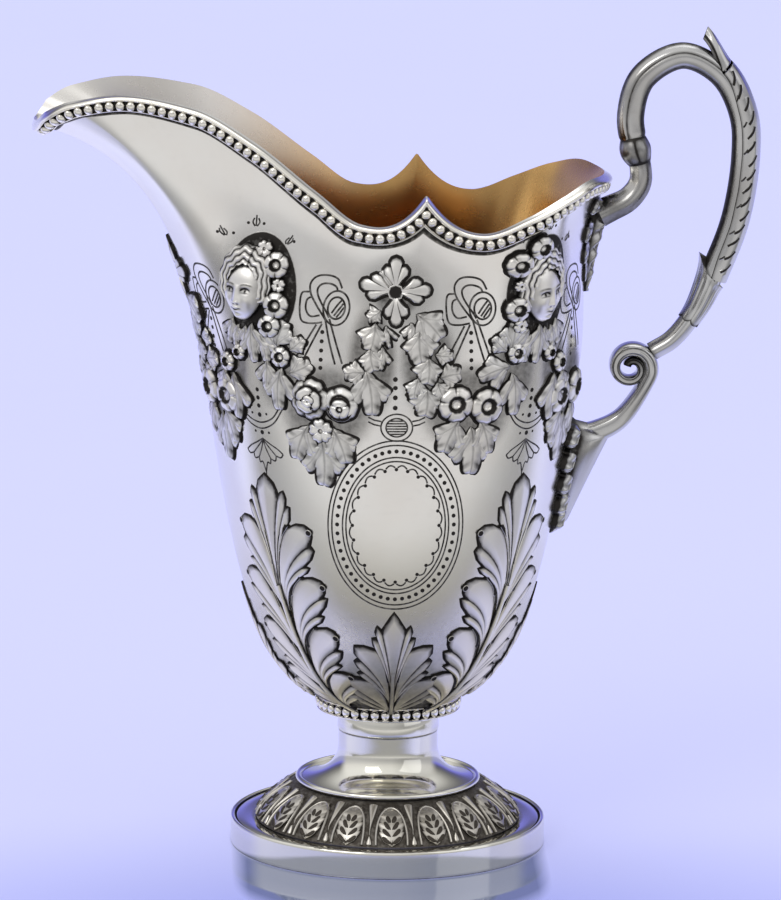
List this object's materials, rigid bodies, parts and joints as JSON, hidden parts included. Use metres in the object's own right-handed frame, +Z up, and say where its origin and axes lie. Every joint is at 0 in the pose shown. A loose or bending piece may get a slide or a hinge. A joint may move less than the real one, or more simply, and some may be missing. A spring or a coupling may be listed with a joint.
{
  "type": "creamer",
  "caption": "Footed helmet-shaped silver creamer with a long raised spout, beaded cusped rim, chased swags, masks and leaves, gilt inside and a cast scroll handle.",
  "frame": {"origin": "centre of the base, on the surface that the creamer stands on", "axes": "+Z up, +X towards the handle, -X towards the spout, +Y to the right of a person who pours away from themselves"},
  "size_m": [0.1442, 0.0634, 0.1667],
  "materials": {
    "body": "polished chased silver, darkened in the recesses, gilded inside",
    "border": "polished silver beads on a darkened ground",
    "foot": "mirror-polished silver, leaves on a darkened ground",
    "handle": "polished cast silver, darkened in the chasing"
  },
  "bodies": {
    "root": {"body_shell": "body", "rim_border_front_left": "border", "rim_border_front_right": "border", "rim_border_rear_left": "border", "rim_border_rear_right": "border", "collar_bead_ring": "border", "foot_stem": "foot", "dish_edge_ring": "foot", "foot_leaf_band": "foot", "base_flange": "foot", "base_rim": "foot", "handle_upper_terminal": "handle", "handle_bud": "handle", "handle_c_scroll": "handle", "handle_thumb_leaf": "handle", "handle_husk": "handle", "handle_lower_shank": "handle", "handle_lower_terminal": "handle"}
  },
  "joints": []
}
